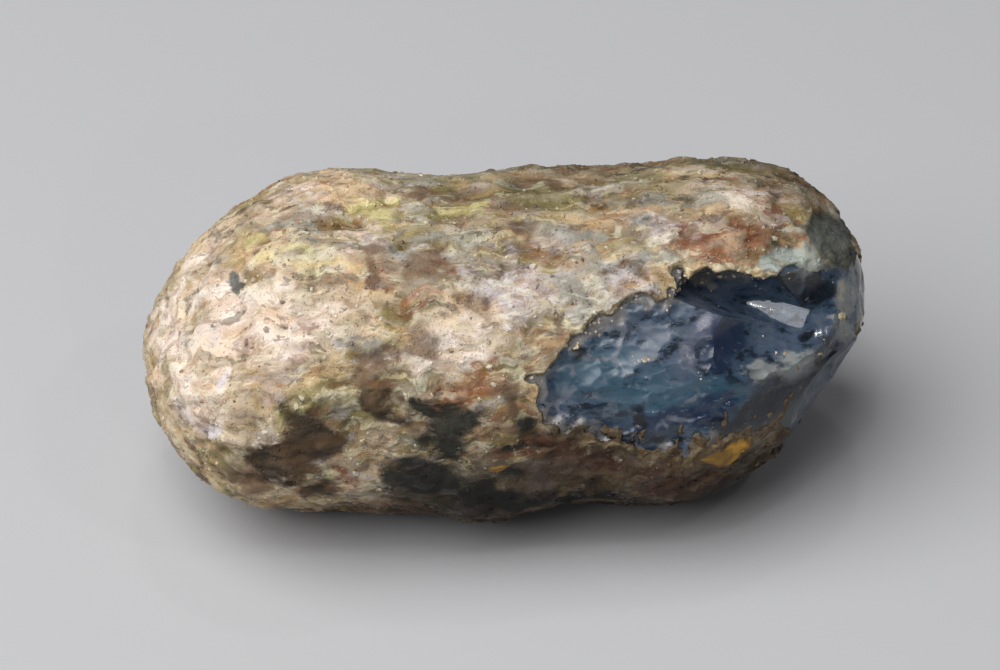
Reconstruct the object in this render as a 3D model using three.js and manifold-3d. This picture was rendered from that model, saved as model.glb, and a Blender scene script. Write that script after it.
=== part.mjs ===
// Rough blue amber: one water-worn nodule under a weathered crust, with its right end broken open.
// Millimetres, +Z up. The nodule lies along X, its broken end towards +X and its broken face
// towards -Y, and it rests on a patch worn flat underneath, which is the plane z = 0.

import * as THREE from 'three';
import { mergeVertices } from 'three/addons/utils/BufferGeometryUtils.js';
import { ImprovedNoise } from 'three/addons/math/ImprovedNoise.js';
import Module from 'manifold-3d';

const wasm = await Module();
wasm.setup();

// ---- The worn nodule before it broke -------------------------------------------------------

// Half sizes of the box that the surface grid is thrown inwards from, and where it is centred.
const GRID_HALF = { x: 25, y: 13.5, z: 11.5 };
const GRID_CELL = 1.25;
const HEART = new THREE.Vector3(0, 0, 11.2);

// Swellings run into one another: a round end, a belly, a shoulder and the brow over the break.
const SWELLINGS = [
  { centre: [-13.0, 0.0, 11.4], radii: [11.1, 12.0, 10.3] },
  { centre: [-10.0, 2.3, 12.6], radii: [9.7, 11.4, 10.6] },
  { centre: [-1.0, 0.8, 11.5], radii: [15.0, 12.8, 11.4] },
  { centre: [10.4, 0.5, 11.4], radii: [12.8, 12.9, 11.4] },
  { centre: [16.5, 1.9, 13.7], radii: [9.9, 10.0, 9.0] },
];
const SWELLING_BLEND = 3.0;

// Broad dents (depth above 0) and knobs (depth below 0), each fading out over its reach.
const DENTS = [
  { what: 'neck behind the round end, front', at: [-10.5, -11.5, 13], reach: 3.6, depth: 0.5 },
  { what: 'neck behind the round end, below', at: [-11.5, -10, 4], reach: 3.2, depth: 0.7 },
  { what: 'dark hollow low on the round end', at: [-15.5, -11, 8], reach: 3.2, depth: 0.7 },
  { what: 'dip along the top', at: [-5, 5, 22.0], reach: 5.0, depth: 0.2 },
  { what: 'hollow under the round end', at: [-15.5, -8.5, 3.5], reach: 4.0, depth: 0.6 },
  { what: 'sag under the belly', at: [6.0, -9, 2.5], reach: 4.0, depth: 0.6 },
  { what: 'sag under the broken end', at: [13.5, -8, 3.0], reach: 4.0, depth: 0.3 },
  { what: 'knob on the belly', at: [-1, -11, 4.5], reach: 4.5, depth: -0.4 },
  { what: 'hollow at the back', at: [1, 12.8, 11], reach: 5.5, depth: 1.3 },
  { what: 'old worn break at the back', at: [15, 11.5, 10], reach: 6.0, depth: 1.4 },
  { what: 'knob at the back', at: [-12, 11.5, 12], reach: 5.0, depth: -0.5 },
  { what: 'pit at the back', at: [-5, 12.5, 7], reach: 2.4, depth: 0.6 },
];

// Uneven skin: two sizes of gentle lump.
const LUMPS = [
  { size: 6.5, height: 0.5 },
  { size: 2.8, height: 0.22 },
];

// ---- The breaks ------------------------------------------------------------------------------

// Shell-shaped breaks, each left by a rounded tool whose deepest point is "at". "from" points
// out of the stone, and radii are the tool's size across, upwards and inwards.
const BREAKS = [
  { what: 'bare face', at: [9.2, -9.2, 17.0], from: [0.0, -0.85, 0.53], radii: [30, 26, 28] },
  { what: 'scoop in the end', at: [18.4, -6.05, 16.6], from: [0.4, -0.7, 0.58],
    radii: [14, 7, 8.5] },
  { what: 'undercut end', at: [20.0, -5.2, 6.9], from: [0.88, -0.42, -0.25], radii: [20, 20, 20] },
  { what: 'notch under the tip', at: [21.2, -4.35, 11.05], from: [0.8, -0.5, -0.33],
    radii: [8, 6, 7] },
  { what: 'blunt tip', at: [25.3, 0, 14.5], from: [0.98, -0.15, 0.1], radii: [16, 16, 16] },
  { what: 'chip on the brow', at: [22.6, -1.6, 19.4], from: [0.6, -0.35, 0.72],
    radii: [8, 7, 7.5] },
];
const TOOL_CELL = 1.3;

// Depth of the patch worn flat underneath.
const REST_WEAR = 0.55;

// ---- Shape functions -------------------------------------------------------------------------

const noise = new ImprovedNoise();

// Rough distance from a point to the outside of one swelling, below 0 inside it.
function distanceToSwelling(point, swelling) {
  const away = point.clone().sub(new THREE.Vector3(...swelling.centre));
  const radii = new THREE.Vector3(...swelling.radii);
  const once = away.clone().divide(radii);
  const twice = once.clone().divide(radii);
  return once.length() * (once.length() - 1) / twice.length();
}

// The smaller of two distances, with a fillet of the given width where they meet.
function blended(a, b, width) {
  const share = THREE.MathUtils.clamp(0.5 + (b - a) / (2 * width), 0, 1);
  return THREE.MathUtils.lerp(b, a, share) - width * share * (1 - share);
}

function dentAt(point, dent) {
  const away = point.distanceTo(new THREE.Vector3(...dent.at)) / dent.reach;
  return dent.depth * Math.exp(-away * away);
}

function lumpAt(point, lump) {
  return lump.height * noise.noise(point.x / lump.size, point.y / lump.size, point.z / lump.size);
}

// Below 0 inside the worn nodule, above 0 outside it.
function nodule(point) {
  let distance = SWELLINGS
    .map((swelling) => distanceToSwelling(point, swelling))
    .reduce((a, b) => blended(a, b, SWELLING_BLEND));
  for (const dent of DENTS) {
    distance += dentAt(point, dent);
  }
  for (const lump of LUMPS) {
    distance += lumpAt(point, lump);
  }
  return distance;
}

// Where a ray from the heart leaves the nodule.
function surfaceAlong(direction) {
  let inside = 0;
  let outside = 2 * GRID_HALF.x;
  for (let step = 0; step < 40; step += 1) {
    const middle = (inside + outside) / 2;
    const point = HEART.clone().addScaledVector(direction, middle);
    if (nodule(point) < 0) {
      inside = middle;
    } else {
      outside = middle;
    }
  }
  return HEART.clone().addScaledVector(direction, inside);
}

// ---- Solids ------------------------------------------------------------------------------------

function closedMesh(geometry) {
  geometry.deleteAttribute('normal');
  geometry.deleteAttribute('uv');
  return mergeVertices(geometry, 1e-4);
}

function toSolid(geometry) {
  const mesh = closedMesh(geometry);
  return new wasm.Manifold(new wasm.Mesh({
    numProp: 3,
    vertProperties: Float32Array.from(mesh.attributes.position.array),
    triVerts: Uint32Array.from(mesh.index.array),
  }));
}

function toGeometry(solid) {
  const mesh = solid.getMesh();
  const geometry = new THREE.BufferGeometry();
  geometry.setAttribute('position', new THREE.BufferAttribute(mesh.vertProperties, 3));
  geometry.setIndex(new THREE.BufferAttribute(mesh.triVerts, 1));
  geometry.computeVertexNormals();
  return geometry;
}

// The whole nodule: a box grid thrown onto the surface along rays from the heart.
function wornNodule() {
  const width = 2 * GRID_HALF.x;
  const depth = 2 * GRID_HALF.y;
  const height = 2 * GRID_HALF.z;
  const grid = closedMesh(new THREE.BoxGeometry(
    width, depth, height,
    Math.round(width / GRID_CELL), Math.round(depth / GRID_CELL), Math.round(height / GRID_CELL),
  ));
  const places = grid.attributes.position;
  const direction = new THREE.Vector3();
  for (let i = 0; i < places.count; i += 1) {
    direction.fromBufferAttribute(places, i).normalize();
    const place = surfaceAlong(direction);
    places.setXYZ(i, place.x, place.y, place.z);
  }
  return toSolid(grid);
}

// A rounded tool that bites one break out of the surface.
function breakTool(chip) {
  const detail = Math.round(Math.max(...chip.radii) / TOOL_CELL);
  const tool = new THREE.IcosahedronGeometry(1, detail);
  tool.scale(...chip.radii);
  const out = new THREE.Vector3(...chip.from).normalize();
  const across = new THREE.Vector3(0, 0, 1).cross(out).normalize();
  const up = out.clone().cross(across);
  const centre = new THREE.Vector3(...chip.at).addScaledVector(out, chip.radii[2]);
  tool.applyMatrix4(new THREE.Matrix4().makeBasis(across, up, out).setPosition(centre));
  return toSolid(tool);
}

// Everything below the patch worn flat.
function belowRest() {
  const slab = new THREE.BoxGeometry(80, 60, 20);
  slab.translate(0, 0, REST_WEAR - 10);
  return toSolid(slab);
}

// ---- The stone ---------------------------------------------------------------------------------

function stoneSolid() {
  let stone = wornNodule();
  for (const chip of BREAKS) {
    stone = stone.subtract(breakTool(chip));
  }
  return stone.subtract(belowRest());
}

// Sets the stone's foot on z = 0 with the middle of its box over the origin.
function centred(geometry) {
  geometry.computeBoundingBox();
  const middle = geometry.boundingBox.getCenter(new THREE.Vector3());
  geometry.translate(-middle.x, -middle.y, -geometry.boundingBox.min.z);
  return geometry;
}

const crustAndAmber = new THREE.MeshStandardMaterial({
  color: new THREE.Color(0.62, 0.52, 0.40),
  roughness: 0.8,
  metalness: 0,
});

const amber = new THREE.Mesh(centred(toGeometry(stoneSolid())), crustAndAmber);
amber.name = 'rough_amber';

const part = new THREE.Group();
part.add(amber);

export default part;
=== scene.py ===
# Rough blue amber: a worn nodule in a thin weathered crust, its right end broken open on dark
# blue glassy amber. Everything is in metres; sizes are given in millimetres, times MM.
import math
from itertools import product

import bmesh
import bpy
import numpy as np
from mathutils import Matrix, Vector
from mathutils.bvhtree import BVHTree


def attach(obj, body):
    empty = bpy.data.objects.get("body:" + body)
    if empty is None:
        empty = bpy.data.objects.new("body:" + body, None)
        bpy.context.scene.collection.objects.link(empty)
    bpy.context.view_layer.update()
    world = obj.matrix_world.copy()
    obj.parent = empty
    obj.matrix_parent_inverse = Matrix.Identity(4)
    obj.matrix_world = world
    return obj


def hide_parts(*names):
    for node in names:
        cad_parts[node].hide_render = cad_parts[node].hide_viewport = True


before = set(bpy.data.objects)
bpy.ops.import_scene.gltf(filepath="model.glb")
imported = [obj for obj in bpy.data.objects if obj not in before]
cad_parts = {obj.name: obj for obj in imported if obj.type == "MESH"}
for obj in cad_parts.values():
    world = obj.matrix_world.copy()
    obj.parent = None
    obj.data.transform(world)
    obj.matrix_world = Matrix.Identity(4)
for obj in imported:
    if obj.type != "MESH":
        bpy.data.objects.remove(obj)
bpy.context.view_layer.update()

# ---- The stone's form ---------------------------------------------------------------------------
# Amber is tree resin that set hard as one lump, was rolled round by water, grew a crust and broke
# at its right end. Crust and amber are both made from the nodule as it was before it broke: the
# frame's own form with its breaks filled up. The sizes below are the frame's.

MM = 0.001
STONE = "rough_amber"
SET_DOWN = np.array((-1.08, -0.92, -0.55))  # from where the sizes below are drawn to where it rests

# The whole nodule's swellings: centre and radii, and how far in mm one runs into the next.
SWELLINGS = (
    ((-13.0, 0.0, 11.4), (11.1, 12.0, 10.3)),
    ((-10.0, 2.3, 12.6), (9.7, 11.4, 10.6)),
    ((-1.0, 0.8, 11.5), (15.0, 12.8, 11.4)),
    ((10.4, 0.5, 11.4), (12.8, 12.9, 11.4)),
    ((16.5, 1.9, 13.7), (9.9, 10.0, 9.0)),
)
SWELLING_BLEND = 3.0
NODULE_CELL = 0.45
FILLED_WITHIN = 0.4  # how near in mm to a break the form is filled up

# The breaks: deepest point, the way out of the stone, and the breaking face's radii across,
# upwards and inwards. The bare face and the brow chip are only filled up: the edge of the flaked
# face, further down, is what shows there.
BREAKS = {
    "bare face": ((9.2, -9.2, 17.0), (0.0, -0.85, 0.53), (30, 26, 28)),
    "scoop": ((18.4, -6.05, 16.6), (0.4, -0.7, 0.58), (14, 7, 8.5)),
    "undercut": ((20.0, -5.2, 6.9), (0.88, -0.42, -0.25), (20, 20, 20)),
    "notch": ((21.2, -4.35, 11.05), (0.8, -0.5, -0.33), (8, 6, 7)),
    "tip": ((25.3, 0.0, 14.5), (0.98, -0.15, 0.1), (16, 16, 16)),
    "brow chip": ((22.6, -1.6, 19.4), (0.6, -0.35, 0.72), (8, 7, 7.5)),
}


def nodule_distance(points):
    """Rough distance in mm from the whole nodule's surface, below 0 inside it."""
    whole = None
    for centre, radii in SWELLINGS:
        once = (points - centre - SET_DOWN) / radii
        twice = once / radii
        reach = np.linalg.norm(once, axis=1)
        one = reach * (reach - 1) / np.maximum(np.linalg.norm(twice, axis=1), 1e-9)
        if whole is None:
            whole = one
            continue
        share = np.clip(0.5 + (one - whole) / (2 * SWELLING_BLEND), 0, 1)
        whole = one + (whole - one) * share - SWELLING_BLEND * share * (1 - share)
    return whole


def break_axes(out, roll=0.0):
    """Across, up and out of the stone at a break, as unit rows, rolled about the way out."""
    out = np.array(out) / np.linalg.norm(out)
    across = np.cross((0, 0, 1), out)
    across /= np.linalg.norm(across)
    up = np.cross(out, across)
    turn = math.radians(roll)
    rolled = math.cos(turn) * across + math.sin(turn) * up
    return np.array((rolled, np.cross(out, rolled), out))


def break_distance(points, name):
    """Rough distance in mm from a breaking face, below 0 on the side that broke away."""
    deepest, out, radii = BREAKS[name]
    axes = break_axes(out)
    centre = np.array(deepest) + SET_DOWN + axes[2] * radii[2]
    once = (points - centre) @ axes.T / radii
    reach = np.linalg.norm(once, axis=1)
    return reach * (reach - 1) / np.maximum(np.linalg.norm(once / radii, axis=1), 1e-9)


def nearest_break(points):
    """Rough distance in mm from the nearest breaking face."""
    return np.min([break_distance(points, name) for name in BREAKS], axis=0)


def uphill(distance, points, step=0.02):
    """The slope of a distance at each point, as rows."""
    rises = [distance(points + step * axis) - distance(points - step * axis) for axis in np.eye(3)]
    return np.stack(rises, 1) / (2 * step)


def read(data, field, width=1, kind=np.float32):
    """One field of a mesh's data, as rows of so many numbers."""
    flat = np.empty(len(data) * width, kind)
    data.foreach_get(field, flat)
    return flat.reshape(-1, width) if width > 1 else flat


def points_of(mesh):
    return read(mesh.vertices, "co", 3).astype(float) / MM


def normals_of(mesh):
    return read(mesh.vertex_normals, "vector", 3).astype(float)


def move_points(mesh, points):
    """Moves the mesh's points, and puts any that are below the table on it."""
    points[:, 2] = np.maximum(points[:, 2], 0)
    mesh.vertices.foreach_set("co", (points * MM).astype(np.float32).ravel())
    mesh.update()


def piece_of(mesh, name):
    """The mesh as a piece in the scene."""
    piece = bpy.data.objects.new(name, mesh)
    bpy.context.scene.collection.objects.link(piece)
    return piece


def worked(mesh, name, add_modifiers):
    """The mesh after the modifiers that add_modifiers puts on it."""
    piece = piece_of(mesh, "work")
    add_modifiers(piece)
    bpy.context.view_layer.update()
    result = piece.evaluated_get(bpy.context.evaluated_depsgraph_get())
    made = bpy.data.meshes.new_from_object(result)
    made.name = name
    bpy.data.objects.remove(piece)
    return made


def even_cells(mesh, name, cell, rounds):
    """The same closed form in even cells, its facets smoothed off in so many rounds."""

    def add(piece):
        remesh = piece.modifiers.new("even cells", "REMESH")
        remesh.mode = "VOXEL"
        remesh.voxel_size = cell * MM
        rounding = piece.modifiers.new("rounding", "SMOOTH")
        rounding.factor = 0.5
        rounding.iterations = rounds

    return worked(mesh, name, add)


def whole_nodule():
    """The stone's own form with the breaks filled up to where the nodule's surface was."""
    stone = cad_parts[STONE].data.copy()
    shape = bmesh.new()
    shape.from_mesh(stone)
    bmesh.ops.remove_doubles(shape, verts=shape.verts, dist=0.001 * MM)
    shape.to_mesh(stone)
    shape.free()
    mesh = even_cells(stone, "whole nodule", NODULE_CELL, 4)
    points = points_of(mesh)
    broken = nearest_break(points) < FILLED_WITHIN
    for _ in range(5):  # nearer to the nodule's own surface each time
        part = points[broken]
        slope = uphill(nodule_distance, part)
        part -= slope * (nodule_distance(part) / (slope**2).sum(1))[:, None]
        points[broken] = part
    move_points(mesh, points)
    return mesh


nodule = whole_nodule()

# ---- The weathered crust ------------------------------------------------------------------------
# A skin of oxidised amber, mineral grains and old sediment, 0.3 to 0.9 mm thick. It is granular,
# pitted and wrinkled along the stone, and has flaked off the bare face. Made as a shell: the
# rough outside, less the amber inside, less what broke away.

CRUST_CELL = 0.25
CRUST_INSIDE_CELL = 0.6
CRUST_THICKNESS = 0.7
# How far in mm the crust's unevenness stands out, or goes in, and how much of it lies inwards.
WRINKLES = 0.2
KNOBS = 0.19
GRAIN = 0.17
FINE_GRAIN = 0.05
LEDGES = 0.17
PITS = 0.34
INWARDS = 0.14

CORNERS = list(product((0, 1), repeat=3))
NEIGHBOURS = list(product((-1, 0, 1), repeat=3))
SHUFFLED = np.random.RandomState(7).permutation(256)
DIRECTIONS = np.random.RandomState(8).normal(size=(256, 3))
DIRECTIONS /= np.linalg.norm(DIRECTIONS, axis=1)[:, None]
SEEDS = np.random.RandomState(9).uniform(0.1, 0.9, (256, 3))


def shuffled(cell):
    """A number from 0 to 255 for each whole-numbered cell."""
    x, y, z = (cell & 255).T
    return SHUFFLED[(SHUFFLED[(SHUFFLED[x] + y) & 255] + z) & 255]


def lumps(points, size, shift=0.0):
    """Smooth random lumps of one size, from about -1 to 1."""
    place = points / size + shift
    cell = np.floor(place).astype(int)
    part = place - cell
    ease = part**3 * (part * (part * 6 - 15) + 10)
    total = np.zeros(len(points))
    for corner in CORNERS:
        share = np.where(corner, ease, 1 - ease).prod(1)
        way = DIRECTIONS[shuffled(cell + corner)]
        total += share * (way * (part - corner)).sum(1)
    return 1.6 * total


def grains(points, size, shift=0.0):
    """Packed grains of one size: how far each point is from its grain's middle, the gap to the
    next grain, and a number from 0 to 1 that belongs to the grain."""
    place = points / size + shift
    cell = np.floor(place).astype(int)
    first = np.full(len(points), 9.0)
    second = first.copy()
    own = np.zeros(len(points))
    for neighbour in NEIGHBOURS:
        name = shuffled(cell + neighbour)
        away = np.linalg.norm(cell + neighbour + SEEDS[name] - place, axis=1)
        nearer = away < first
        second = np.where(nearer, first, np.minimum(second, away))
        own = np.where(nearer, name / 255, own)
        first = np.where(nearer, away, first)
    return first, second - first, own


def ramp(value, low, high):
    """0 at low, 1 at high, eased between."""
    share = np.clip((value - low) / (high - low), 0, 1)
    return share * share * (3 - 2 * share)


def warped(points, size, by):
    """Points pushed about by lumps, for edges that wander."""
    push = np.stack([lumps(points, size, 11.3 * (axis + 1)) for axis in range(3)], 1)
    return points + by * push


LONG = np.array((2.2, 1.0, 1.0))  # wrinkles and streaks run along the stone


def crust_relief(points):
    """How far in mm the crust's face stands out from the smooth nodule."""
    along = warped(points, 3.0, 0.9) / LONG
    wrinkle = 1 - 2 * np.abs(lumps(along, 1.5, 3.1))
    knobs = lumps(points, 2.6, 5.7)
    _, gap, own = grains(warped(points, 0.8, 0.25), 0.75, 1.9)
    grain = (own - 0.4) * ramp(gap, 0.0, 0.35)
    fine = lumps(points, 0.45, 8.2)
    pit_first, _, pit_own = grains(warped(points, 1.2, 0.5), 1.7, 4.4)
    pit = ramp(pit_first, 0.5, 0.0) * (pit_own > 0.75)
    ledge = ramp(lumps(along, 2.4, 6.6), -0.03, 0.03)
    relief = WRINKLES * wrinkle + KNOBS * knobs + GRAIN * grain + FINE_GRAIN * fine
    relief += LEDGES * ledge - PITS * pit - INWARDS
    return relief * ramp(points[:, 2], 0.0, 0.7)


def crust_thickness(points):
    """Thickness in mm: thick over most of the stone, thin near the broken end's tip."""
    return CRUST_THICKNESS * (1 + 0.3 * lumps(points, 4.0, 2.2) - 0.4 * ramp(points[:, 0], 15, 22))


BLOCK_DEPTH = 16  # mm from a breaking face to the far side of the block that it took away


def closed_solid(name, points, faces):
    """A mesh whose faces all look outwards."""
    mesh = bpy.data.meshes.new(name)
    mesh.from_pydata((np.asarray(points) * MM).tolist(), [], faces)
    shape = bmesh.new()
    shape.from_mesh(mesh)
    bmesh.ops.recalc_face_normals(shape, faces=shape.faces)
    shape.to_mesh(mesh)
    shape.free()
    return mesh


def breaking_solid(name, middle, axes, reach, cell, height):
    """What broke away on one side of the stone: a block whose inner side is the breaking face.
    The face is height(places, across, up) mm out from the flat grid through the middle."""
    u, v = (np.linspace(-half, half, int(2 * half / cell) + 1) for half in reach)
    across, up = (side.ravel() for side in np.meshgrid(u, v, indexing="ij"))
    flat = middle + np.outer(across, axes[0]) + np.outer(up, axes[1])
    places = flat + np.outer(height(flat, across, up), axes[2])
    number = np.arange(len(flat)).reshape(len(u), len(v))
    quads = [number[:-1, :-1], number[1:, :-1], number[1:, 1:], number[:-1, 1:]]
    face = np.stack([side.ravel() for side in quads], 1)
    edge = np.concatenate([number[:-1, 0], number[-1, :-1], number[:0:-1, -1], number[0, :0:-1]])
    after = np.roll(edge, -1)
    wall = np.stack([edge, after, after + len(flat), edge + len(flat)], 1)
    faces = face.tolist() + (face[:, ::-1] + len(flat)).tolist() + wall.tolist()
    far_side = flat + BLOCK_DEPTH * axes[2]
    return piece_of(closed_solid(name, np.concatenate([places, far_side]), faces), name)


def less(mesh, name, *tools):
    """The solid with the tools' solids taken out of it; each face keeps the marks of the solid
    that it came from."""

    def add(piece):
        for tool in tools:
            cut = piece.modifiers.new("cut", "BOOLEAN")
            cut.operation = "DIFFERENCE"
            cut.solver = "MANIFOLD"
            cut.object = tool

    result = worked(mesh, name, add)
    for tool in tools:
        bpy.data.objects.remove(tool)
    return result


# Where each shell-shaped break reaches, in mm across and up from its deepest point.
BREAK_REACH = {"scoop": (7.5, 5.0), "undercut": (11, 11), "notch": (5, 4), "tip": (8, 8)}


def shell_break(name, deepest, out, radii, reach, cell, roughness, roll=0.0):
    """The block that one shell-shaped break took away."""
    axes = break_axes(out, roll)

    def height(flat, across, up):
        far = np.sqrt((across / radii[0]) ** 2 + (up / radii[1]) ** 2)
        bowl = radii[2] * (1 - np.sqrt(np.maximum(1 - far**2, 0.01)))
        bowl += 2.5 * radii[1] * np.maximum(far - 1, 0)
        return bowl + roughness(flat + np.outer(bowl, axes[2]), name)

    return breaking_solid(name, np.array(deepest), axes, reach, cell, height)


def large_breaks(cell, roughness):
    """The blocks that the four larger breaks took away."""
    blocks = []
    for name, reach in BREAK_REACH.items():
        deepest, out, radii = BREAKS[name]
        blocks.append(shell_break(name, deepest + SET_DOWN, out, radii, reach, cell, roughness))
    return blocks


# The edge of the flaked face, from the top of the ridge down the left and round to the tip.
FLAKED_EDGE = (
    (11.9, -6.3, 20.7), (8.5, -8.2, 20.1), (6.0, -9.1, 19.2), (3.4, -9.9, 18.2), (1.8, -10.6, 17.4),
    (0.8, -11.5, 16.0), (1.2, -12.1, 14.5), (3.2, -12.6, 12.8), (5.9, -12.9, 11.4), (8.6, -13.2, 10.4),
    (11.2, -13.2, 10.4), (12.3, -12.9, 11.4), (14.6, -12.3, 11.4), (17.0, -11.0, 9.0), (21.5, -7.0, 10.0),
    (24.5, -3.0, 13.0), (25.8, 0.0, 15.0), (25.4, -0.6, 16.6), (24.2, -1.8, 17.8), (22.8, -2.8, 18.4),
    (21.2, -3.8, 18.7), (19.9, -4.6, 18.9), (18.6, -5.4, 19.2), (16.8, -6.0, 20.0), (14.9, -6.0, 20.6),
)
FLAKED_MIDDLE = np.array((12.0, -10.0, 16.5))
FLAKED_AXES = break_axes((0.12, -0.78, 0.6))
FLAKED_REACH = (15.5, 11.5)
EDGE_SLOPE = 0.5  # how far in mm the crust thins out inside its edge
FACE_BACK = -9  # mm behind the flat grid, where the bare face's side of the stone ends
FAR_OUTSIDE = -99
ABOVE_GRID = 30  # mm out from the flat grid, clear of the stone
BESIDE_STONE = -12  # where the grid reaches past the stone
nodule_tree = BVHTree.FromPolygons(
    [vertex.co[:] for vertex in nodule.vertices], [face.vertices[:] for face in nodule.polygons]
)


def inside_edge(across, up):
    """How far in mm a place on the flat grid is inside the flaked face's edge."""
    loop = (np.array(FLAKED_EDGE) - FLAKED_MIDDLE) @ FLAKED_AXES[:2].T
    place = np.stack([across, up], 1)
    nearest = np.full(len(place), 99.0)
    inside = np.zeros(len(place), bool)
    for start, end in zip(loop, np.roll(loop, -1, axis=0)):
        side = end - start
        share = np.clip((place - start) @ side / (side @ side), 0, 1)
        nearest = np.minimum(nearest, np.linalg.norm(place - start - np.outer(share, side), axis=1))
        passes = (start[1] > place[:, 1]) != (end[1] > place[:, 1])
        with np.errstate(divide="ignore", invalid="ignore"):
            crossing = start[0] + side[0] * (place[:, 1] - start[1]) / side[1]
        inside ^= passes & (place[:, 0] < crossing)
    return np.where(inside, nearest, -nearest)


def inside_at(points):
    """How far in mm points near the nodule's surface are inside the flaked face's ragged edge."""
    flat = (points - FLAKED_MIDDLE) @ FLAKED_AXES.T
    wander = 0.9 * lumps(points, 1.9, 3.3) + 0.7 * lumps(points, 0.85, 7.7)
    wander *= 1 - 0.4 * ramp(points[:, 0], 13, 17)
    inside = inside_edge(flat[:, 0], flat[:, 1]) + wander + EDGE_SLOPE
    return np.where(flat[:, 2] > FACE_BACK, inside, FAR_OUTSIDE)


def surface_height(flat):
    """How far in mm the whole nodule's surface is out from the flat grid."""
    out = Vector(FLAKED_AXES[2])
    heights = []
    for place in flat:
        start = Vector(place * MM) + out * ABOVE_GRID * MM
        hit = nodule_tree.ray_cast(start, -out)
        heights.append(ABOVE_GRID - hit[3] / MM if hit[0] else BESIDE_STONE)
    return np.array(heights)


def flaked_break(name, cell, depth):
    """The block of crust and amber that flaked off the bare face; depth(places, inside) is how
    deep the face it left lies under the nodule's surface."""

    def height(flat, across, up):
        surface = surface_height(flat)
        places = flat + np.outer(surface, FLAKED_AXES[2])
        return surface - depth(places, inside_at(places))

    return breaking_solid(name, FLAKED_MIDDLE, FLAKED_AXES, FLAKED_REACH, cell, height)


# How far in mm the crust's own breaks lie below the frame's. It is more than the amber's do, so
# that the crust is stripped back from the amber.
CRUST_STRIPPED = {"scoop": 0.3, "undercut": 0.45, "notch": 0.45, "tip": 0.5}


def crumbly(places, break_name=None):
    """How the crust's broken section is rough, grain by grain."""
    _, gap, own = grains(warped(places, 0.7, 0.2), 0.5, 3.3)
    rough = 0.2 * (own - 0.5) * ramp(gap, 0.0, 0.3) + 0.12 * lumps(places, 0.9, 1.1)
    if break_name is None:
        return rough
    bites = 0.9 * lumps(places, 2.2, 6.1) + 0.4 * lumps(places, 0.9, 3.3)
    return rough + bites - CRUST_STRIPPED[break_name]


def crust_flaked_depth(places, inside):
    """Right through the crust inside the edge, rising over the crumbly section outside it."""
    through = crust_thickness(places) + 0.25
    return through - (through + 1.2) * ramp(inside, 1.0, -1.8) - crumbly(places)


def worn_edge(points):
    """How far in mm the crust's face is worn down towards its edge, more in some places."""
    inside = inside_at(points)
    share = 0.75 + 0.5 * lumps(points, 2.2, 8.8)
    worn = np.clip(crust_thickness(points) - 0.22, 0, 1) * np.clip(share, 0, 1)
    return worn * ramp(inside, -2.6, -0.2)


OUTSIDE, SECTION, INSIDE = 0, 1, 2  # which of the crust's faces a face belongs to


def crust_mesh():
    skin = even_cells(nodule, "crust outside", CRUST_CELL, 25)
    points = points_of(skin)
    relief = crust_relief(points) - worn_edge(points)
    move_points(skin, points + normals_of(skin) * relief[:, None])
    core = even_cells(nodule, "crust inside", CRUST_INSIDE_CELL, 12)
    points = points_of(core)
    move_points(core, points - normals_of(core) * crust_thickness(points)[:, None])
    tools = large_breaks(CRUST_CELL, crumbly)
    tools.append(flaked_break("flaked", CRUST_CELL, crust_flaked_depth))
    tools.append(piece_of(core, "core"))
    origins = [OUTSIDE] + [SECTION] * (len(tools) - 1) + [INSIDE]
    for mesh, origin in zip([skin] + [tool.data for tool in tools], origins):
        kind = mesh.attributes.new("origin", "INT", "FACE")
        kind.data.foreach_set("value", np.full(len(mesh.polygons), origin, np.int32))
    return less(skin, "crust", *tools)


def smooth(mesh):
    mesh.polygons.foreach_set("use_smooth", [True] * len(mesh.polygons))


crust = piece_of(crust_mesh(), "weathered_crust")
smooth(crust.data)

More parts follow.
